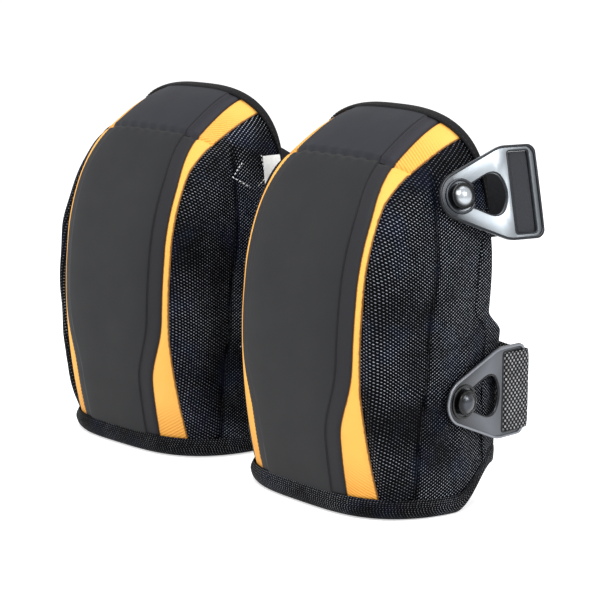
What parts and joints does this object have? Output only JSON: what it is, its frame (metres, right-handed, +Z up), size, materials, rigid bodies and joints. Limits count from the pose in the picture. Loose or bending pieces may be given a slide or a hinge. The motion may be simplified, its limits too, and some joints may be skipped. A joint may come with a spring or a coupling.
{
  "type": "pair of strap-on knee pads",
  "caption": "Mirrored pair of curved work knee pads with padded shells open at the rear, smooth front caps, woven trim, and swivel slip buckles on straps.",
  "frame": {"origin": "on the floor, in the middle of the box round both pads", "axes": "+X from the left pad to the right pad, +Y from the caps to the open rear, +Z up"},
  "size_m": [0.4106, 0.1536, 0.2536],
  "materials": {
    "foam": "closed-cell foam",
    "gel": "soft clear-tinted gel",
    "liner": "smooth navy neoprene",
    "cap_skin": "smooth matt coated fabric",
    "trim": "woven orange twill",
    "side_fabric": "black ballistic weave",
    "binding_tape": "fine ribbed tape",
    "hem_webbing": "wide woven hem",
    "smooth_strap": "smooth laminated strap",
    "woven_strap": "coarse woven elastic",
    "gloss_black": "gloss moulded",
    "stud_steel": "blackened steel",
    "tag": "plain white tape"
  },
  "bodies": {
    "root": {"left_foam_core": "foam", "left_gel_pad": "gel", "left_liner": "liner", "left_knee_cap": "cap_skin", "left_thigh_cap": "cap_skin", "left_outer_trim_lower": "trim", "left_outer_trim_upper": "trim", "left_inner_trim_lower": "trim", "left_inner_trim_upper": "trim", "left_outer_side": "side_fabric", "left_inner_side": "side_fabric", "left_top_binding": "binding_tape", "left_bottom_binding": "hem_webbing", "left_rear_binding": "binding_tape", "left_upper_strap": "smooth_strap", "left_lower_strap": "woven_strap", "left_upper_stud": "stud_steel", "left_lower_stud": "stud_steel", "left_upper_washer": "stud_steel", "left_lower_washer": "stud_steel", "left_upper_anchor": "side_fabric", "left_lower_anchor": "side_fabric", "left_care_tag": "tag", "right_foam_core": "foam", "right_gel_pad": "gel", "right_liner": "liner", "right_knee_cap": "cap_skin", "right_thigh_cap": "cap_skin", "right_outer_trim_lower": "trim", "right_outer_trim_upper": "trim", "right_inner_trim_lower": "trim", "right_inner_trim_upper": "trim", "right_outer_side": "side_fabric", "right_inner_side": "side_fabric", "right_top_binding": "binding_tape", "right_bottom_binding": "hem_webbing", "right_rear_binding": "binding_tape", "right_upper_strap": "smooth_strap", "right_lower_strap": "woven_strap", "right_upper_stud": "stud_steel", "right_lower_stud": "stud_steel", "right_upper_washer": "stud_steel", "right_lower_washer": "stud_steel", "right_upper_anchor": "side_fabric", "right_lower_anchor": "side_fabric", "right_care_tag": "tag"},
    "right_upper_swivel": {"right_upper_button": "gloss_black"},
    "right_upper_slider": {"right_upper_buckle": "gloss_black", "right_upper_strap_end": "smooth_strap"},
    "right_lower_swivel": {"right_lower_button": "gloss_black"},
    "right_lower_slider": {"right_lower_buckle": "gloss_black", "right_lower_strap_end": "woven_strap"},
    "left_upper_swivel": {"left_upper_button": "gloss_black"},
    "left_upper_slider": {"left_upper_buckle": "gloss_black", "left_upper_strap_end": "smooth_strap"},
    "left_lower_swivel": {"left_lower_button": "gloss_black"},
    "left_lower_slider": {"left_lower_buckle": "gloss_black", "left_lower_strap_end": "woven_strap"}
  },
  "joints": [
    {"name": "right_upper_turn", "type": "hinge", "parent": "root", "child": "right_upper_swivel", "pos_m": [0.17763, -0.00686, 0.20182], "axis": [0.9403, -0.2302, 0.2506], "range_deg": [-25, 25]},
    {"name": "right_upper_slip", "type": "slide", "parent": "right_upper_swivel", "child": "right_upper_slider", "axis": [-0.2378, -0.9713, 0], "range_m": [0, 0.022]},
    {"name": "right_lower_turn", "type": "hinge", "parent": "root", "child": "right_lower_swivel", "pos_m": [0.18204, -0.00769, 0.07342], "axis": [0.9987, 0.0497, -0.0087], "range_deg": [-25, 25]},
    {"name": "right_lower_slip", "type": "slide", "parent": "right_lower_swivel", "child": "right_lower_slider", "axis": [0.0497, -0.9988, 0], "range_m": [0, 0.022]},
    {"name": "left_upper_turn", "type": "hinge", "parent": "root", "child": "left_upper_swivel", "pos_m": [-0.17763, -0.00686, 0.20182], "axis": [-0.9403, -0.2302, 0.2506], "range_deg": [-25, 25]},
    {"name": "left_upper_slip", "type": "slide", "parent": "left_upper_swivel", "child": "left_upper_slider", "axis": [0.2378, -0.9713, 0], "range_m": [0, 0.022]},
    {"name": "left_lower_turn", "type": "hinge", "parent": "root", "child": "left_lower_swivel", "pos_m": [-0.18204, -0.00769, 0.07342], "axis": [-0.9987, 0.0497, -0.0087], "range_deg": [-25, 25]},
    {"name": "left_lower_slip", "type": "slide", "parent": "left_lower_swivel", "child": "left_lower_slider", "axis": [-0.0497, -0.9988, 0], "range_m": [0, 0.022]}
  ]
}
